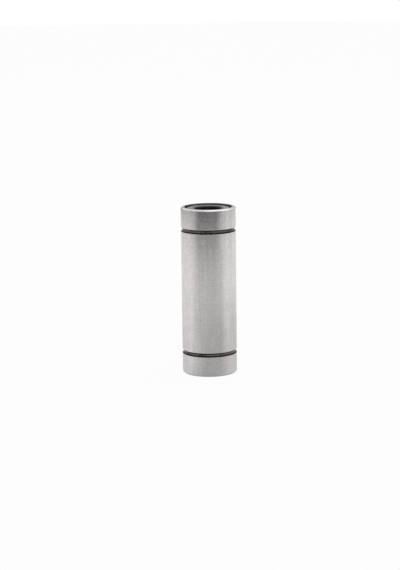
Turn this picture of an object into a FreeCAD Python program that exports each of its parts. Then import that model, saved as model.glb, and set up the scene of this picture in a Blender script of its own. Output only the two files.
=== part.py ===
"""Long linear ball bearing for a round shaft, standing on its lower end face.

One hardened outer cylinder holds two moulded ball retainers end to end. Each retainer guides four
closed circuits of steel balls. A steel end ring and a rubber seal close each end.
The bearing's axis is +Z and the origin is at the centre of the lower end face. All sizes are in mm.
"""

import FreeCAD
import Part

import math
import os

# Shaft that the bearing runs on, and length over both end faces
shaft_diameter = 8.0
length = 46.0

# Balls and their circuits
ball_diameter = 1.588
circuits = 4
balls_per_turn = 2
turn_ball_gap = 0.04
race_gap = 0.03
channel_gap = 0.06

# Outer cylinder: bores are made to the next whole step, and the wall is outside the widest bore
bore_step = 0.05
shoulder = 0.3
mouth_wall = 1.0
edge_chamfer = 0.35
mouth_chamfer = 0.05
race_run_out = 0.4
race_taper = 0.5

# Grooves for retaining rings, set in from each end face
groove_inset = 5.5
groove_width = 1.1
groove_depth = 0.35

# Ball retainers
retainer_shaft_gap = 0.2
retainer_race_gap = 0.07
retainer_end_wall = 0.6
retainer_edge_chamfer = 0.2
retainer_bore_chamfer = 0.15

# Pieces in each mouth of the cylinder, from the end face inwards
seal_recess = 0.35
seal_height = 1.4
end_ring_thickness = 0.6
end_ring_shaft_gap = 0.7
end_ring_chamfer = 0.12
seat_gap = 0.02
stack_gap = 0.05

# Seal section
seal_rim_width = 0.63
seal_rim_step = 0.65
seal_round = 0.12
lip_shaft_gap = 0.02
lip_width = 0.3
lip_drop = 0.25
lip_length = 0.3
lip_thickness = 0.35

# Worked out: each circuit is a race track in the plane through the centres of its loaded balls
ball_radius = ball_diameter / 2
turn_step = math.pi / balls_per_turn
turn_radius = (ball_diameter + turn_ball_gap) / (2 * math.sin(turn_step / 2))
ball_pitch = turn_radius * turn_step
loaded_radius = shaft_diameter / 2 + ball_radius
run_spacing = 2 * turn_radius
return_radius = math.hypot(loaded_radius, run_spacing)
channel_radius = ball_radius + channel_gap

# Worked out: radii of the outer cylinder
race_radius = loaded_radius + ball_radius + race_gap
relief_radius = bore_step * math.ceil((return_radius + channel_radius) / bore_step)
mouth_radius = relief_radius + shoulder
outer_radius = mouth_radius + mouth_wall

# Worked out: retainer length, and how many balls fit along it
mouth_depth = seal_recess + seal_height + end_ring_thickness
retainer_length = (length - 2 * mouth_depth - 3 * stack_gap) / 2
turn_reach = turn_radius + channel_radius
balls_per_run = int((retainer_length - 2 * turn_reach - 2 * retainer_end_wall) / ball_pitch)
run_length = balls_per_run * ball_pitch
lower_middle = mouth_depth + stack_gap + retainer_length / 2
retainer_middles = {"lower": lower_middle, "upper": length - lower_middle}

AXIS = FreeCAD.Vector(0, 0, 1)
CENTRE = FreeCAD.Vector(0, 0, 0)


def corner_arc(before, corner, after, radius):
    """The start, middle and end of the arc that rounds one corner of a section."""
    to_before = (before - corner).normalize()
    to_after = (after - corner).normalize()
    half_angle = to_before.getAngle(to_after) / 2
    reach = radius / math.tan(half_angle)
    to_middle = radius / math.sin(half_angle) - radius
    middle = corner + (to_before + to_after).normalize() * to_middle
    return corner + to_before * reach, middle, corner + to_after * reach


def turned(section):
    """A solid of revolution about Z. Corners are (radius, height) or (radius, height, rounding)."""
    points = [FreeCAD.Vector(corner[0], 0, corner[1]) for corner in section]
    arrivals = list(points)
    departures = list(points)
    outline = []
    for index, (radius, height, *rounding) in enumerate(section):
        if rounding:
            after = points[(index + 1) % len(points)]
            start, middle, end = corner_arc(points[index - 1], points[index], after, rounding[0])
            outline.append(Part.Arc(start, middle, end).toShape())
            arrivals[index] = start
            departures[index] = end
    for index, departure in enumerate(departures):
        arrival = arrivals[(index + 1) % len(points)]
        outline.append(Part.LineSegment(departure, arrival).toShape())
    face = Part.Face(Part.Wire(Part.__sortEdges__(outline)))
    return face.revolve(CENTRE, AXIS, 360)


def around(shape, index):
    """A copy of a shape turned to one of the ball circuits."""
    copy = shape.copy()
    copy.rotate(CENTRE, AXIS, index * 360 / circuits)
    return copy


def other_end(shape):
    """A copy of a shape for the opposite end of the bearing."""
    return shape.mirror(FreeCAD.Vector(0, 0, length / 2), AXIS)


def both_ends(half):
    """A section that runs up from the lower end, continued to the upper end."""
    return half + [(radius, length - height) for radius, height in reversed(half)]


def cylinder_inside():
    """The cylinder's bore: mouth with its shoulder, relief for the turns, and the raceway land."""
    land_end = run_length / 2 - race_run_out
    relief_start = land_end + race_taper
    return both_ends(
        [
            (mouth_radius + mouth_chamfer, 0),
            (mouth_radius, mouth_chamfer),
            (mouth_radius, mouth_depth),
            (relief_radius, mouth_depth),
            (relief_radius, lower_middle - relief_start),
            (race_radius, lower_middle - land_end),
            (race_radius, lower_middle + land_end),
            (relief_radius, lower_middle + relief_start),
        ]
    )


def cylinder_outside():
    """The cylinder's outside: chamfered edges and a square groove near each end."""
    groove_radius = outer_radius - groove_depth
    groove_end = groove_inset + groove_width
    return both_ends(
        [
            (outer_radius - edge_chamfer, 0),
            (outer_radius, edge_chamfer),
            (outer_radius, groove_inset),
            (groove_radius, groove_inset),
            (groove_radius, groove_end),
            (outer_radius, groove_end),
        ]
    )


def outer_cylinder():
    """Turned and ground sleeve, with channels through its raceway lands for the returning balls."""
    sleeve = turned(cylinder_outside() + cylinder_inside()[::-1])
    channel_start = FreeCAD.Vector(loaded_radius, run_spacing, mouth_depth)
    channel = Part.makeCylinder(channel_radius, length - 2 * mouth_depth, channel_start, AXIS)
    return sleeve.cut([around(channel, index) for index in range(circuits)])


def channel_section(offset, height):
    """U-shaped section of a ball channel, open outwards, at an offset along the circuit's plane."""
    left = offset - channel_radius
    right = offset + channel_radius
    floor_left = FreeCAD.Vector(loaded_radius, left, height)
    floor_middle = FreeCAD.Vector(loaded_radius - channel_radius, offset, height)
    floor_right = FreeCAD.Vector(loaded_radius, right, height)
    top_right = FreeCAD.Vector(relief_radius, right, height)
    top_left = FreeCAD.Vector(relief_radius, left, height)
    outline = [
        Part.Arc(floor_left, floor_middle, floor_right).toShape(),
        Part.LineSegment(floor_right, top_right).toShape(),
        Part.LineSegment(top_right, top_left).toShape(),
        Part.LineSegment(top_left, floor_left).toShape(),
    ]
    return Part.Face(Part.Wire(outline))


def circuit_channel(middle):
    """The race-track channel of one circuit: loaded run, return run and the turns that join them."""
    bottom = middle - run_length / 2
    top = middle + run_length / 2
    along = AXIS * run_length
    outward = FreeCAD.Vector(1, 0, 0)
    top_centre = FreeCAD.Vector(0, turn_radius, top)
    bottom_centre = FreeCAD.Vector(0, turn_radius, bottom)
    loaded_run = channel_section(0, bottom).extrude(along)
    return_run = channel_section(run_spacing, bottom).extrude(along)
    top_turn = channel_section(0, top).revolve(top_centre, -outward, 180)
    bottom_turn = channel_section(0, bottom).revolve(bottom_centre, outward, 180)
    return loaded_run.fuse([top_turn, return_run, bottom_turn]).removeSplitter()


def ball_retainer(middle):
    """Moulded cage: a tube with one race-track channel for each circuit of balls."""
    bottom = middle - retainer_length / 2
    top = middle + retainer_length / 2
    bore = shaft_diameter / 2 + retainer_shaft_gap
    outer = race_radius - retainer_race_gap
    tube = turned(
        [
            (bore + retainer_bore_chamfer, bottom),
            (outer - retainer_edge_chamfer, bottom),
            (outer, bottom + retainer_edge_chamfer),
            (outer, top - retainer_edge_chamfer),
            (outer - retainer_edge_chamfer, top),
            (bore + retainer_bore_chamfer, top),
            (bore, top - retainer_bore_chamfer),
            (bore, bottom + retainer_bore_chamfer),
        ]
    )
    channel = circuit_channel(middle)
    return tube.cut([around(channel, index) for index in range(circuits)])


def end_ring():
    """Flat steel ring on the shoulder of the lower mouth, which keeps the retainer in."""
    outer = mouth_radius - seat_gap
    inner = shaft_diameter / 2 + end_ring_shaft_gap
    outside = mouth_depth - end_ring_thickness
    return turned(
        [
            (inner + end_ring_chamfer, outside),
            (outer - end_ring_chamfer, outside),
            (outer, outside + end_ring_chamfer),
            (outer, mouth_depth),
            (inner, mouth_depth),
            (inner, outside + end_ring_chamfer),
        ]
    )


def end_seal():
    """Moulded rubber seal of the lower mouth: a low rim, a raised hub and a thin lip at the shaft."""
    rim = mouth_radius - seat_gap
    hub = rim - seal_rim_width
    rim_face = seal_recess + seal_rim_step
    seat = seal_recess + seal_height
    lip = shaft_diameter / 2 + lip_shaft_gap
    lip_root = lip + lip_width
    lip_start = seal_recess + lip_drop
    lip_end = lip_start + lip_length
    return turned(
        [
            (rim, seat),
            (rim, rim_face, seal_round),
            (hub, rim_face, seal_round),
            (hub, seal_recess, seal_round),
            (lip_root, seal_recess, seal_round),
            (lip, lip_start),
            (lip, lip_end),
            (lip_root, lip_end + lip_thickness, seal_round),
            (lip_root, seat),
        ]
    )


def ball_row(offset, middle):
    """The balls along one straight run of a circuit, half a pitch in from its ends."""
    first = middle - run_length / 2 + ball_pitch / 2
    heights = [first + step * ball_pitch for step in range(balls_per_run)]
    centres = [FreeCAD.Vector(loaded_radius, offset, height) for height in heights]
    return Part.makeCompound([Part.makeSphere(ball_radius, centre) for centre in centres])


def turn_balls(middle, side):
    """The balls in the turn at the top (side 1) or bottom (side -1) of a circuit."""
    turn_height = middle + side * run_length / 2
    balls = []
    for step in range(balls_per_turn):
        angle = (step + 0.5) * turn_step
        offset = turn_radius - turn_radius * math.cos(angle)
        height = turn_height + side * turn_radius * math.sin(angle)
        balls.append(Part.makeSphere(ball_radius, FreeCAD.Vector(loaded_radius, offset, height)))
    return Part.makeCompound(balls)


def ball_circuits(name, middle):
    """Every group of balls in one retainer, by node name."""
    groups = {
        "loaded_balls": ball_row(0, middle),
        "return_balls": ball_row(run_spacing, middle),
        "top_turn_balls": turn_balls(middle, 1),
        "bottom_turn_balls": turn_balls(middle, -1),
    }
    return {
        f"{name}_circuit_{index + 1}_{group}": around(shape, index)
        for index in range(circuits)
        for group, shape in groups.items()
    }


def bearing():
    """Every piece of the bearing, by node name."""
    pieces = {
        "outer_cylinder": outer_cylinder(),
        "lower_end_ring": end_ring(),
        "upper_end_ring": other_end(end_ring()),
        "lower_end_seal": end_seal(),
        "upper_end_seal": other_end(end_seal()),
    }
    for name, middle in retainer_middles.items():
        pieces[f"{name}_ball_retainer"] = ball_retainer(middle)
        pieces.update(ball_circuits(name, middle))
    return pieces


def main():
    os.makedirs("parts", exist_ok=True)
    for node, shape in bearing().items():
        shape.exportStep(f"parts/{node}.step")


if __name__ == "__main__":
    main()
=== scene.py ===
import math

import bpy
from mathutils import Matrix, Vector


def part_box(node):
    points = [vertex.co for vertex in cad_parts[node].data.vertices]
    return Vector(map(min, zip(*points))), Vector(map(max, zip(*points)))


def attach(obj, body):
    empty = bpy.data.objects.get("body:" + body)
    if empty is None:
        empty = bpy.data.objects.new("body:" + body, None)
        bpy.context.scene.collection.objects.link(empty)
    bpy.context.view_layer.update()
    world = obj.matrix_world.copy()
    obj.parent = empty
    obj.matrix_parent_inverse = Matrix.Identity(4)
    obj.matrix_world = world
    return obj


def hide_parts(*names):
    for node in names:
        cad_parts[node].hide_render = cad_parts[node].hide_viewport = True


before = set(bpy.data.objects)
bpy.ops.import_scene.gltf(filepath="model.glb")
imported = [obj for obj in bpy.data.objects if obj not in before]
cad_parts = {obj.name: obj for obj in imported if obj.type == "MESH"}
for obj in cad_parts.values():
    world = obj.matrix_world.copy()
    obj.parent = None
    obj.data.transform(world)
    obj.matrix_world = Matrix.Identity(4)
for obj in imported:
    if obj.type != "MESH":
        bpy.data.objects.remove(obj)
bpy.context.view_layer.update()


# Outer cylinder
# One tube of bearing steel, turned, hardened, and ground outside to an even satin.
# The two square ring grooves are turned before hardening and keep the black of the furnace.

mm = 0.001
edge_chamfer = 0.35 * mm
edge_round = 0.08 * mm
groove_inset = 5.5 * mm
groove_width = 1.1 * mm
groove_depth = 0.35 * mm
groove_round = 0.04 * mm
mouth_wall = 1.0 * mm
mouth_chamfer = 0.05 * mm
shoulder = 0.3 * mm
race_gap = 0.03 * mm
land_inset = 0.29 * mm
race_taper = 0.5 * mm
channel_gap = 0.06 * mm
circuits = 4
cylinder_segments = 192

bearing_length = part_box("outer_cylinder")[1].z
outer_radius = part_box("outer_cylinder")[1].x
groove_end = groove_inset + groove_width
groove_middle = groove_inset + groove_width / 2
groove_radius = outer_radius - groove_depth
mouth_radius = outer_radius - mouth_wall
mouth_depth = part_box("lower_end_ring")[1].z
relief_radius = mouth_radius - shoulder
ball_low, ball_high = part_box("lower_circuit_1_loaded_balls")
ball_radius = (ball_high.x - ball_low.x) / 2
loaded_radius = (ball_high.x + ball_low.x) / 2
run_middle = (ball_high.z + ball_low.z) / 2
run_spacing = sum(corner.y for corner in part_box("lower_circuit_1_return_balls")) / 2
race_radius = loaded_radius + ball_radius + race_gap
land_half = (ball_high.z - ball_low.z) / 2 - land_inset
channel_radius = ball_radius + channel_gap
channel_circle = math.hypot(loaded_radius, run_spacing)
channel_angle = math.atan2(run_spacing, loaded_radius)


def both_ends(half):
    """A half section from the lower end upwards, continued to the upper end."""
    return half + [(corner[0], bearing_length - corner[1], *corner[2:]) for corner in reversed(half)]


inside = both_ends(
    [
        (mouth_radius + mouth_chamfer, 0, groove_round),
        (mouth_radius, mouth_chamfer, groove_round),
        (mouth_radius, mouth_depth),
        (relief_radius, mouth_depth),
        (relief_radius, run_middle - land_half - race_taper),
        (race_radius, run_middle - land_half),
        (race_radius, run_middle + land_half),
        (relief_radius, run_middle + land_half + race_taper),
    ]
)
outside = both_ends(
    [
        (outer_radius - edge_chamfer, 0, edge_round),
        (outer_radius, edge_chamfer, edge_round),
        (outer_radius, groove_inset, groove_round),
        (groove_radius, groove_inset, groove_round),
        (groove_radius, groove_end, groove_round),
        (outer_radius, groove_end, groove_round),
    ]
)


def rounded_outline(corners, steps=4):
    """Points round a closed section whose corners are (radius, height) or (radius, height, rounding)."""
    points = [Vector(corner[:2]) for corner in corners]
    outline = []
    for index, corner in enumerate(points):
        if len(corners[index]) == 2:
            outline.append(corner)
            continue
        rounding = corners[index][2]
        back = (points[index - 1] - corner).normalized()
        ahead = (points[(index + 1) % len(points)] - corner).normalized()
        half_angle = back.angle(ahead) / 2
        centre = corner + (back + ahead).normalized() * rounding / math.sin(half_angle)
        start = corner + back * rounding / math.tan(half_angle) - centre
        end = corner + ahead * rounding / math.tan(half_angle) - centre
        sweep = -start.angle_signed(end)
        outline += [centre + Matrix.Rotation(sweep * step / steps, 2) @ start for step in range(steps + 1)]
    return outline


def section_piece(name, outline):
    """A piece that holds a section to be turned: x outwards from the cylinder's radius, y downwards."""
    mesh = bpy.data.meshes.new(name)
    points = [(point.x - outer_radius, -point.y, 0) for point in outline]
    mesh.from_pydata(points, [(index, (index + 1) % len(points)) for index in range(len(points))], [])
    piece = bpy.data.objects.new(name, mesh)
    bpy.context.scene.collection.objects.link(piece)
    return piece


def calculate(tree, operation, *values):
    """The result of one sum in a node tree, from sockets or numbers."""
    node = tree.nodes.new("ShaderNodeMath")
    node.operation = operation
    for socket, value in zip(node.inputs, values):
        if isinstance(value, bpy.types.NodeSocket):
            tree.links.new(value, socket)
        else:
            socket.default_value = value
    return node.outputs[0]


def new_tree(name, **inputs):
    """A geometry tree with a geometry input and output, and named inputs of the kinds given."""
    tree = bpy.data.node_groups.new(name, "GeometryNodeTree")
    tree.interface.new_socket("Geometry", in_out="OUTPUT", socket_type="NodeSocketGeometry")
    tree.interface.new_socket("Geometry", in_out="INPUT", socket_type="NodeSocketGeometry")
    for input_name, kind in inputs.items():
        tree.interface.new_socket(input_name, in_out="INPUT", socket_type="NodeSocket" + kind)
    return tree, tree.nodes.new("NodeGroupInput").outputs


def turn_section(tree, given):
    """Turns a section about Z."""
    circle = tree.nodes.new("GeometryNodeCurvePrimitiveCircle")
    upright = tree.nodes.new("GeometryNodeSetCurveNormal")
    upright.mode = "Z_UP"
    section = tree.nodes.new("GeometryNodeMeshToCurve")
    turned = tree.nodes.new("GeometryNodeCurveToMesh")
    tree.links.new(given["segments"], circle.inputs["Resolution"])
    tree.links.new(given["radius"], circle.inputs["Radius"])
    tree.links.new(circle.outputs["Curve"], upright.inputs["Curve"])
    tree.links.new(given["Geometry"], section.inputs["Mesh"])
    tree.links.new(upright.outputs["Curve"], turned.inputs["Curve"])
    tree.links.new(section.outputs["Curve"], turned.inputs["Profile Curve"])
    return turned.outputs["Mesh"]


def open_channels(tree, given, geometry):
    """Moves the bore outwards wherever a return channel cuts through a raceway land."""
    place = tree.nodes.new("ShaderNodeSeparateXYZ")
    tree.links.new(tree.nodes.new("GeometryNodeInputPosition").outputs["Position"], place.inputs[0])
    x, y, z = place.outputs
    squares = calculate(tree, "MULTIPLY_ADD", x, x, calculate(tree, "MULTIPLY", y, y))
    radius = calculate(tree, "SQRT", squares)
    half_step = calculate(tree, "DIVIDE", math.pi, given["channels"])
    angle = calculate(tree, "SUBTRACT", calculate(tree, "ARCTAN2", y, x), given["channel_angle"])
    swing = calculate(tree, "WRAP", angle, half_step, calculate(tree, "MULTIPLY", half_step, -1.0))
    across = calculate(tree, "MULTIPLY", given["channel_circle"], calculate(tree, "SINE", swing))
    along = calculate(tree, "MULTIPLY", given["channel_circle"], calculate(tree, "COSINE", swing))
    within = calculate(tree, "LESS_THAN", calculate(tree, "ABSOLUTE", across), given["channel_radius"])
    square = calculate(tree, "MULTIPLY", given["channel_radius"], given["channel_radius"])
    rest = calculate(tree, "SUBTRACT", square, calculate(tree, "MULTIPLY", across, across))
    half_chord = calculate(tree, "SQRT", calculate(tree, "MAXIMUM", rest, 0.0))
    wall = calculate(tree, "MULTIPLY", within, calculate(tree, "ADD", along, half_chord))
    growth = calculate(tree, "DIVIDE", calculate(tree, "MAXIMUM", radius, wall), radius)
    moved = tree.nodes.new("ShaderNodeCombineXYZ")
    tree.links.new(calculate(tree, "MULTIPLY", x, growth), moved.inputs["X"])
    tree.links.new(calculate(tree, "MULTIPLY", y, growth), moved.inputs["Y"])
    tree.links.new(z, moved.inputs["Z"])
    shift = tree.nodes.new("GeometryNodeSetPosition")
    tree.links.new(geometry, shift.inputs["Geometry"])
    tree.links.new(moved.outputs["Vector"], shift.inputs["Position"])
    return shift.outputs["Geometry"]


def close_tree(tree, given, geometry, crease=math.radians(35)):
    """Smooths the faces, marks the edges that fold by more than the crease, and sets the finish."""
    smooth = tree.nodes.new("GeometryNodeSetShadeSmooth")
    angle = tree.nodes.new("GeometryNodeInputMeshEdgeAngle")
    sharp = tree.nodes.new("GeometryNodeStoreNamedAttribute")
    sharp.data_type = "BOOLEAN"
    sharp.domain = "EDGE"
    sharp.inputs["Name"].default_value = "sharp_edge"
    realize = tree.nodes.new("GeometryNodeRealizeInstances")
    finish = tree.nodes.new("GeometryNodeSetMaterial")
    folded = calculate(tree, "GREATER_THAN", angle.outputs["Unsigned Angle"], crease)
    tree.links.new(geometry, smooth.inputs["Geometry"])
    tree.links.new(smooth.outputs["Geometry"], sharp.inputs["Geometry"])
    tree.links.new(folded, sharp.inputs["Value"])
    tree.links.new(sharp.outputs["Geometry"], realize.inputs["Geometry"])
    tree.links.new(realize.outputs["Geometry"], finish.inputs["Geometry"])
    tree.links.new(given["finish"], finish.inputs["Material"])
    tree.links.new(finish.outputs["Geometry"], tree.nodes.new("NodeGroupOutput").inputs[0])


def make_mesh(piece, tree, **values):
    """Runs a tree on a piece with values for its named inputs, and keeps the result as its mesh."""
    maker = piece.modifiers.new(tree.name, "NODES")
    maker.node_group = tree
    for socket in tree.interface.items_tree:
        if socket.in_out == "INPUT" and socket.name in values:
            maker[socket.identifier] = values[socket.name]
    graph = bpy.context.evaluated_depsgraph_get()
    mesh = bpy.data.meshes.new_from_object(piece.evaluated_get(graph), depsgraph=graph)
    piece.modifiers.remove(maker)
    piece.data = mesh


def even_shading(piece):
    """Lets broad faces set the shading next to narrow rounded edges."""
    shading = piece.modifiers.new("Even shading", "WEIGHTED_NORMAL")
    shading.keep_sharp = True


def new_finish(name):
    """A material with its node tree, its surface shader and the piece's own coordinates."""
    material = bpy.data.materials.new(name)
    material.use_nodes = True
    tree = material.node_tree
    place = tree.nodes.new("ShaderNodeTexCoord").outputs["Object"]
    return material, tree, tree.nodes["Principled BSDF"], place


def grain(tree, place, grains, detail=3.0, roughness=0.5):
    """Noise with so many grains to the metre along each axis."""
    mapping = tree.nodes.new("ShaderNodeMapping")
    mapping.inputs["Scale"].default_value = grains
    noise = tree.nodes.new("ShaderNodeTexNoise")
    noise.inputs["Scale"].default_value = 1.0
    noise.inputs["Detail"].default_value = detail
    noise.inputs["Roughness"].default_value = roughness
    tree.links.new(place, mapping.inputs["Vector"])
    tree.links.new(mapping.outputs["Vector"], noise.inputs["Vector"])
    return noise.outputs["Fac"]


def spread(tree, value, low, high, start=0.25, end=0.75):
    """A value between start and end, spread from low to high. Most noise lies between 0.25 and 0.75."""
    levels = tree.nodes.new("ShaderNodeMapRange")
    levels.inputs["From Min"].default_value = start
    levels.inputs["From Max"].default_value = end
    levels.inputs["To Min"].default_value = low
    levels.inputs["To Max"].default_value = high
    tree.links.new(value, levels.inputs["Value"])
    return levels.outputs["Result"]


def tinted(tree, value, colour, other):
    """One colour or another, by a noise value."""
    mix = tree.nodes.new("ShaderNodeMix")
    mix.data_type = "RGBA"
    mix.inputs["A"].default_value = (*colour, 1)
    mix.inputs["B"].default_value = (*other, 1)
    tree.links.new(spread(tree, value, 0.0, 1.0), mix.inputs["Factor"])
    return mix.outputs["Result"]


def shade(tree, colour, *levels):
    """A colour, or a colour socket, made lighter or darker by levels."""
    level = levels[0]
    for other in levels[1:]:
        level = calculate(tree, "MULTIPLY", level, other)
    shaded = tree.nodes.new("ShaderNodeVectorMath")
    shaded.operation = "SCALE"
    if isinstance(colour, bpy.types.NodeSocket):
        tree.links.new(colour, shaded.inputs[0])
    else:
        shaded.inputs[0].default_value = colour
    tree.links.new(level, shaded.inputs["Scale"])
    return shaded.outputs["Vector"]


def paint(tree, shader, colour, roughness):
    """Gives a surface its colour and its roughness."""
    tree.links.new(colour, shader.inputs["Base Color"])
    tree.links.new(roughness, shader.inputs["Roughness"])


def relief(tree, shader, height, depth):
    """Surface relief of a real depth."""
    bump = tree.nodes.new("ShaderNodeBump")
    bump.inputs["Distance"].default_value = depth
    tree.links.new(height, bump.inputs["Height"])
    tree.links.new(bump.outputs["Normal"], shader.inputs["Normal"])


def ground_steel():
    """Satin steel: grinding lines and bands round it, streaks along it, specks and tinted clouds."""
    material, tree, shader, place = new_finish("ground_steel")
    lines = grain(tree, place, (90, 90, 14000), detail=2.0)
    bands = grain(tree, place, (60, 60, 2600), detail=2.0)
    streaks = grain(tree, place, (1700, 1700, 40))
    specks = grain(tree, place, (1600, 1600, 1600), detail=1.0)
    clouds = grain(tree, place, (420, 420, 300), detail=5.0, roughness=0.6)
    tints = grain(tree, place, (260, 260, 90), detail=2.0)
    levels = [
        spread(tree, lines, 0.97, 1.03),
        spread(tree, bands, 0.975, 1.025),
        spread(tree, streaks, 0.935, 1.065),
        spread(tree, specks, 0.945, 1.055),
        spread(tree, clouds, 0.91, 1.09),
    ]
    colour = tinted(tree, tints, (0.682, 0.684, 0.676), (0.716, 0.667, 0.670))
    paint(tree, shader, shade(tree, colour, *levels), spread(tree, clouds, 0.19, 0.25))
    shader.inputs["Metallic"].default_value = 1.0
    shader.inputs["Specular Tint"].default_value = (0.90, 0.89, 0.89, 1)
    relief(tree, shader, lines, 0.0015 * mm)
    return material


def furnace_black():
    """The brown-black skin of hardened steel, with painted shade in the corners and a painted highlight
    along the middle of the floor.
    """
    material, tree, shader, place = new_finish("furnace_black")
    scale = grain(tree, place, (1500, 1500, 1500), detail=4.0)
    patches = grain(tree, place, (260, 260, 60), detail=2.0)
    lines = grain(tree, place, (120, 120, 9000), detail=2.0)
    axes = tree.nodes.new("ShaderNodeSeparateXYZ")
    tree.links.new(place, axes.inputs[0])
    height = axes.outputs["Z"]
    from_end = calculate(tree, "MINIMUM", height, calculate(tree, "SUBTRACT", bearing_length, height))
    aside = calculate(tree, "ABSOLUTE", calculate(tree, "SUBTRACT", from_end, groove_middle))
    # Painted shade and highlight: darker towards the groove's walls, lighter along the middle of its floor.
    levels = [
        spread(tree, aside, 1.0, 0.03, start=0.05 * mm, end=0.38 * mm),
        spread(tree, scale, 0.6, 1.5),
        spread(tree, patches, 0.4, 1.6),
    ]
    paint(tree, shader, shade(tree, (0.165, 0.132, 0.123), *levels), spread(tree, scale, 0.22, 0.36))
    shader.inputs["Specular IOR Level"].default_value = 0.18
    shader.inputs["Specular Tint"].default_value = (1.0, 0.88, 0.84, 1)
    relief(tree, shader, lines, 0.003 * mm)
    return material


def bored_steel():
    """Steel as it comes from the boring bar and the furnace, greyer and rougher than ground steel, and
    painted darker still as shade inside the mouth and bore.
    """
    material, tree, shader, place = new_finish("bored_steel")
    lines = grain(tree, place, (150, 150, 7000), detail=2.0)
    # Painted shade: the base colour is kept dark for the shade in the deep mouth.
    colour = shade(tree, (0.17, 0.165, 0.16), spread(tree, lines, 0.85, 1.15))
    paint(tree, shader, colour, spread(tree, lines, 0.30, 0.42))
    shader.inputs["Metallic"].default_value = 1.0
    relief(tree, shader, lines, 0.003 * mm)
    return material


cylinder_tree, cylinder_inputs = new_tree(
    "Turned cylinder",
    radius="Float",
    segments="Int",
    channels="Int",
    channel_circle="Float",
    channel_radius="Float",
    channel_angle="Float",
    finish="Material",
)
cylinder_body = turn_section(cylinder_tree, cylinder_inputs)
close_tree(cylinder_tree, cylinder_inputs, open_channels(cylinder_tree, cylinder_inputs, cylinder_body))
cylinder = section_piece("ground_cylinder", rounded_outline(inside + outside[::-1]))
make_mesh(
    cylinder,
    cylinder_tree,
    radius=outer_radius,
    segments=cylinder_segments,
    channels=circuits,
    channel_circle=channel_circle,
    channel_radius=channel_radius,
    channel_angle=channel_angle,
    finish=ground_steel(),
)
cylinder.data.materials.append(furnace_black())
cylinder.data.materials.append(bored_steel())
furnace_slot = 1
bore_slot = 2
skin_edge = groove_round / 4
for face in cylinder.data.polygons:
    depth = outer_radius - face.center.xy.length
    from_end = min(face.center.z, bearing_length - face.center.z)
    if depth > mouth_wall - mouth_chamfer / 2:
        face.material_index = bore_slot
    elif groove_inset - skin_edge < from_end < groove_end + skin_edge and depth > skin_edge:
        face.material_index = furnace_slot
even_shading(cylinder)
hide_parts("outer_cylinder")
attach(cylinder, "housing")


# Ball retainers
# Two tubes moulded in black resin stand end to end in the cylinder.
# Each has four race-track channels that lead the balls down one side and back up the other.

ends = ("lower", "upper")


def moulded_resin():
    """Dull black resin with a fine moulded texture."""
    material, tree, shader, place = new_finish("moulded_resin")
    texture = grain(tree, place, (6000, 6000, 6000), detail=2.0)
    patches = grain(tree, place, (500, 500, 500))
    colour = shade(tree, (0.020, 0.020, 0.021), spread(tree, patches, 0.8, 1.2))
    paint(tree, shader, colour, spread(tree, patches, 0.42, 0.55))
    relief(tree, shader, texture, 0.004 * mm)
    return material


resin = moulded_resin()
for end in ends:
    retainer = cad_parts[f"{end}_ball_retainer"]
    retainer.data.materials.clear()
    retainer.data.materials.append(resin)


# Balls
# Hardened and polished steel balls fill every channel. Those in the loaded runs stand through the
# retainer's bore onto the shaft, and the turns lead them into the return runs.

balls_per_run = 8
balls_per_turn = 2
ball_segments = 12
ball_rings = 8
ball_pitch = (ball_high.z - ball_low.z - 2 * ball_radius) / (balls_per_run - 1)
run_half = balls_per_run * ball_pitch / 2
turn_radius = run_spacing / 2
retainer_middles = {"lower": run_middle, "upper": bearing_length - run_middle}


def polished_steel():
    """Mirror-bright ball steel with faint smears of oil."""
    material, tree, shader, place = new_finish("polished_steel")
    smears = grain(tree, place, (700, 700, 700), detail=4.0)
    colour = shade(tree, (0.72, 0.72, 0.71), spread(tree, smears, 0.94, 1.04))
    paint(tree, shader, colour, spread(tree, smears, 0.06, 0.16))
    shader.inputs["Metallic"].default_value = 1.0
    return material


def run_centres(offset):
    """Ball centres along a straight run, as (offset, height) from the middle of the circuit."""
    first = ball_pitch / 2 - run_half
    return [(offset, first + step * ball_pitch) for step in range(balls_per_run)]


def turn_centres(side):
    """Ball centres in the upper turn (side 1) or the lower turn (side -1)."""
    angles = [(step + 0.5) * math.pi / balls_per_turn for step in range(balls_per_turn)]
    return [
        (turn_radius - turn_radius * math.cos(angle), side * (run_half + turn_radius * math.sin(angle)))
        for angle in angles
    ]


ball_tree, ball_inputs = new_tree(
    "Balls",
    ball_radius="Float",
    segments="Int",
    rings="Int",
    finish="Material",
)
one_ball = ball_tree.nodes.new("GeometryNodeMeshUVSphere")
set_out = ball_tree.nodes.new("GeometryNodeInstanceOnPoints")
ball_tree.links.new(ball_inputs["ball_radius"], one_ball.inputs["Radius"])
ball_tree.links.new(ball_inputs["segments"], one_ball.inputs["Segments"])
ball_tree.links.new(ball_inputs["rings"], one_ball.inputs["Rings"])
ball_tree.links.new(ball_inputs["Geometry"], set_out.inputs["Points"])
ball_tree.links.new(one_ball.outputs["Mesh"], set_out.inputs["Instance"])
close_tree(ball_tree, ball_inputs, set_out.outputs["Instances"])

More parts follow.
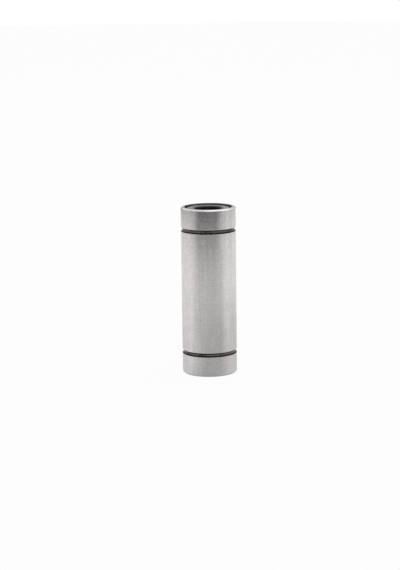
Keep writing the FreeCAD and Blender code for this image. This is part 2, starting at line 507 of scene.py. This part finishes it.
ball_steel = polished_steel()
ball_groups = {
    "loaded_row": ("loaded_balls", run_centres(0)),
    "return_row": ("return_balls", run_centres(run_spacing)),
    "top_turn": ("top_turn_balls", turn_centres(1)),
    "bottom_turn": ("bottom_turn_balls", turn_centres(-1)),
}
for end in ends:
    for circuit in range(circuits):
        turn = Matrix.Rotation(2 * math.pi * circuit / circuits, 3, "Z")
        for group, (node_ending, centres) in ball_groups.items():
            body = f"{end}_circuit_{circuit + 1}_{group}"
            mesh = bpy.data.meshes.new(body)
            places = [(loaded_radius, offset, retainer_middles[end] + height) for offset, height in centres]
            mesh.from_pydata([turn @ Vector(place) for place in places], [], [])
            balls = bpy.data.objects.new(f"{body}_polished", mesh)
            bpy.context.scene.collection.objects.link(balls)
            make_mesh(
                balls,
                ball_tree,
                ball_radius=ball_radius,
                segments=ball_segments,
                rings=ball_rings,
                finish=ball_steel,
            )
            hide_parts(f"{end}_circuit_{circuit + 1}_{node_ending}")
            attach(balls, body)


# End rings
# A flat ring stamped from spring steel sits on the shoulder in each mouth.
# It keeps the retainers in and carries the seal.


def stamped_steel():
    """Bright cold-rolled strip with the fine lines of rolling and a slightly oily sheen."""
    material, tree, shader, place = new_finish("stamped_steel")
    rolling = grain(tree, place, (9000, 200, 200), detail=2.0)
    colour = shade(tree, (0.52, 0.52, 0.51), spread(tree, rolling, 0.9, 1.1))
    paint(tree, shader, colour, spread(tree, rolling, 0.26, 0.38))
    shader.inputs["Metallic"].default_value = 1.0
    relief(tree, shader, rolling, 0.002 * mm)
    return material


ring_steel = stamped_steel()
for end in ends:
    end_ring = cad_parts[f"{end}_end_ring"]
    end_ring.data.materials.clear()
    end_ring.data.materials.append(ring_steel)


# End seals
# A moulded ring of black rubber is pressed into each mouth, a little below the end face.
# Its rim grips the steel, and a thin lip slopes in and down from its hub to wipe the shaft.

seal_rim_width = 0.63 * mm
seal_rim_step = 0.65 * mm
seal_round = 0.12 * mm
lip_radius = 4.02 * mm
lip_width = 0.3 * mm
lip_drop = 0.25 * mm
lip_length = 0.3 * mm
lip_thickness = 0.35 * mm
lip_round = 0.06 * mm
seal_segments = 128

seal_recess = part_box("lower_end_seal")[0].z
seal_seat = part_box("lower_end_seal")[1].z
seal_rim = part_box("lower_end_seal")[1].x
seal_hub = seal_rim - seal_rim_width
rim_face = seal_recess + seal_rim_step
lip_root = lip_radius + lip_width
lip_start = seal_recess + lip_drop
lip_end = lip_start + lip_length


def satin_rubber():
    """Black rubber that is dull from above and catches a grey sheen at a low angle."""
    material, tree, shader, place = new_finish("satin_rubber")
    skin = grain(tree, place, (5000, 5000, 5000), detail=3.0)
    dust = grain(tree, place, (900, 900, 900), detail=4.0)
    colour = shade(tree, (0.028, 0.028, 0.028), spread(tree, dust, 0.7, 1.4))
    paint(tree, shader, colour, spread(tree, dust, 0.30, 0.40))
    shader.inputs["Sheen Weight"].default_value = 1.0
    shader.inputs["Sheen Roughness"].default_value = 0.3
    relief(tree, shader, skin, 0.001 * mm)
    return material


rubber = satin_rubber()
seal_section = [
    (seal_rim, seal_seat),
    (seal_rim, rim_face, seal_round),
    (seal_hub, rim_face, seal_round),
    (seal_hub, seal_recess, seal_round),
    (lip_root, seal_recess, seal_round),
    (lip_radius, lip_start, lip_round),
    (lip_radius, lip_end, lip_round),
    (lip_root, lip_end + lip_thickness, seal_round),
    (lip_root, seal_seat),
]
seal_sections = {
    "lower": seal_section,
    "upper": [(corner[0], bearing_length - corner[1], *corner[2:]) for corner in reversed(seal_section)],
}
seal_tree, seal_inputs = new_tree("Turned seal", radius="Float", segments="Int", finish="Material")
close_tree(seal_tree, seal_inputs, turn_section(seal_tree, seal_inputs))
for end, section in seal_sections.items():
    seal = section_piece(f"{end}_rubber_seal", rounded_outline(section))
    make_mesh(seal, seal_tree, radius=outer_radius, segments=seal_segments, finish=rubber)
    even_shading(seal)
    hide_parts(f"{end}_end_seal")
    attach(seal, "housing")


# Floor and room
# The bearing stands on a pale floor in a white room, and the steel reflects both.
# The camera and the reflections see both as nearly white. Their other light is dimmer.

floor_reach = 3.0
floor_white = 0.94
room_level = 0.6
scene = bpy.context.scene
scene.view_settings.view_transform = "Standard"


def seen_level(tree, seen, other):
    """A level for what the camera, a reflection or a clear piece sees, and one for other light."""
    path = tree.nodes.new("ShaderNodeLightPath").outputs
    direct = calculate(tree, "MAXIMUM", path["Is Camera Ray"], path["Is Glossy Ray"])
    direct = calculate(tree, "MAXIMUM", direct, path["Is Transmission Ray"])
    return calculate(tree, "MULTIPLY_ADD", direct, seen - other, other)


def stage_piece(name, points, faces, material):
    """A sheet of the stage."""
    mesh = bpy.data.meshes.new(name)
    mesh.from_pydata(points, [], faces)
    mesh.materials.append(material)
    sheet = bpy.data.objects.new(name, mesh)
    scene.collection.objects.link(sheet)
    return sheet


room = bpy.data.worlds.new("white_room")
room.use_nodes = True
room_light = room.node_tree.nodes["Background"]
room_light.inputs["Color"].default_value = (1, 1, 1, 1)
room.node_tree.links.new(seen_level(room.node_tree, 1.0, room_level), room_light.inputs["Strength"])
scene.world = room

floor_paint = bpy.data.materials.new("pale_floor")
floor_paint.use_nodes = True
floor_tree = floor_paint.node_tree
floor_shader = floor_tree.nodes["Principled BSDF"]
floor_shader.inputs["Base Color"].default_value = (0.9, 0.9, 0.9, 1)
floor_shader.inputs["Roughness"].default_value = 0.9
floor_glow = floor_tree.nodes.new("ShaderNodeEmission")
floor_mix = floor_tree.nodes.new("ShaderNodeMixShader")
floor_tree.links.new(seen_level(floor_tree, floor_white, 0.0), floor_mix.inputs["Fac"])
floor_tree.links.new(floor_shader.outputs["BSDF"], floor_mix.inputs[1])
floor_tree.links.new(floor_glow.outputs["Emission"], floor_mix.inputs[2])
floor_tree.links.new(floor_mix.outputs["Shader"], floor_tree.nodes["Material Output"].inputs["Surface"])
floor_signs = [(-1, -1), (1, -1), (1, 1), (-1, 1)]
floor_corners = [(x * floor_reach, y * floor_reach, 0) for x, y in floor_signs]
stage_piece("floor", floor_corners, [(0, 1, 2, 3)], floor_paint)


# Reflection cards
# Glowing sheets that only reflections see paint what the steel reflects: a dark sheet on the camera's side
# paints its darker middle, and grey sheets stand left, right and behind.
# A sheet round the bearing's foot, painted darker as a painted shadow, darkens the reflection at its lower
# end.

card_steps = 24
front_card = [(0.23, 0.001), (0.90, 0.001), (0.90, 0.70)]
front_card_left = math.radians(90)
front_card_right = math.radians(85)
left_fade = math.radians(45)
right_fade = math.radians(52)
side_card_start = math.radians(68)
side_card_end = math.radians(165)
side_card_level = 0.12
left_card = [(0.315, 0.002), (0.95, 0.002), (0.95, 0.25)]
right_card = [(0.36, 0.002), (0.95, 0.002), (0.95, 0.25)]
back_card = [(0.95, 0.03), (0.95, 0.45)]
back_card_level = 0.6
# Painted shadow: the foot shade stands in for the bearing's own soft shadow on the floor, as reflections
# see it.
foot_height = 0.05 * mm
foot_shade = [
    (0.93 * outer_radius, foot_height, 0.60, 0.60, 0),
    (outer_radius, foot_height, 0.53, 0.20, 0.03),
    (0.06, foot_height, 0.42, 0.19, 0.08),
    (0.14, foot_height, 0.21, 0, 0),
    (0.26, foot_height, 0, 0, 0),
]
front_full = math.cos(math.radians(45))
front_none = math.cos(math.radians(72))

# Painted reflection: each card glows at its own level and only reflections see it.
painted_reflection_glow = bpy.data.materials.new("painted_reflection_glow")
painted_reflection_glow.use_nodes = True
card_tree = painted_reflection_glow.node_tree
card_shade = card_tree.nodes.new("ShaderNodeAttribute")
card_shade.attribute_name = "card_level"
card_glow = card_tree.nodes.new("ShaderNodeEmission")
card_tree.links.new(card_shade.outputs["Fac"], card_glow.inputs["Strength"])
card_tree.links.new(card_glow.outputs["Emission"], card_tree.nodes["Material Output"].inputs["Surface"])


def reflection_card(name, start, end, profile, level):
    """A glowing card that only reflections see, a painted reflection: a profile of (distance, height) swung
    from one angle to another.
    """
    points = []
    faces = []
    levels = []
    corners = len(profile)
    for step in range(card_steps + 1):
        angle = start + (end - start) * step / card_steps
        toward = Vector((math.sin(angle), -math.cos(angle), 0))
        points += [toward * corner[0] + Vector((0, 0, corner[1])) for corner in profile]
        levels += [level(angle, *corner) for corner in profile]
        for corner in range(corners - 1 if step else 0):
            here = step * corners + corner
            faces.append((here - corners, here - corners + 1, here + 1, here))
    card = stage_piece(name, points, faces, painted_reflection_glow)
    card.data.attributes.new("card_level", "FLOAT", "POINT").data.foreach_set("value", levels)
    card.visible_camera = False
    card.visible_diffuse = False
    card.visible_shadow = False


def front_level(angle, *corner):
    """Painted reflection: black over most of the front card, fading to white at its two ends."""
    left_share = min((front_card_left + angle) / left_fade, 1)
    right_share = min((front_card_right - angle) / right_fade, 1)
    return 1 - min(left_share, right_share)


def even_grey(level):
    """The same grey glow all over a card."""
    return lambda angle, *corner: level


def foot_level(angle, distance, height, front, sides, lean):
    """White less a painted shade in front, a painted shade at the sides, and what the right side has more
    than the left.
    """
    share = max(math.cos(angle), 0) ** 2
    if distance > outer_radius:
        share = min(max((math.cos(angle) - front_none) / (front_full - front_none), 0), 1)
    return 1 - sides - (front - sides) * share - lean * math.sin(angle)


reflection_card("front_card", -front_card_left, front_card_right, front_card, front_level)
reflection_card("left_card", -side_card_end, -side_card_start, left_card, even_grey(side_card_level))
reflection_card("right_card", side_card_start, side_card_end, right_card, even_grey(side_card_level))
reflection_card("back_card", side_card_end, math.tau - side_card_end, back_card, even_grey(back_card_level))
reflection_card("foot_shade", -math.pi, math.pi, foot_shade, foot_level)


# Light
# One wide soft box hangs over the bearing, a little to the right, and faces the bearing's foot.
# The white room gives the rest of the light.

soft_box_place = Vector((0.5, 0, 1.1))
soft_box = bpy.data.lights.new("overhead_light", "AREA")
soft_box.size = 1.6
soft_box.energy = 3.2
soft_box_holder = bpy.data.objects.new("overhead_light", soft_box)
soft_box_holder.location = soft_box_place
soft_box_holder.rotation_euler = soft_box_place.to_track_quat("Z", "Y").to_euler()
scene.collection.objects.link(soft_box_holder)


# Camera
# A long lens in front of the bearing and a little above it, tilted down at its middle,
# with the photograph's slight lean.

image_height = 570
focal_pixels = 1660.7
camera_place = Vector((0, -448.1 * mm, 109.6 * mm))
camera_yaw = -0.0055
camera_pitch = 0.1882
camera_roll = -0.0126
level = Vector((math.sin(camera_yaw), math.cos(camera_yaw), 0))
ahead = level * math.cos(camera_pitch) - Vector((0, 0, math.sin(camera_pitch)))
level_right = Vector((level.y, -level.x, 0))
right = Matrix.Rotation(camera_roll, 3, -ahead) @ level_right
up = right.cross(ahead)
lens = bpy.data.cameras.new("camera")
lens.lens = focal_pixels * lens.sensor_width / image_height
camera = bpy.data.objects.new("camera", lens)
camera.matrix_world = Matrix.Translation(camera_place) @ Matrix((right, up, -ahead)).transposed().to_4x4()
scene.collection.objects.link(camera)
scene.camera = camera
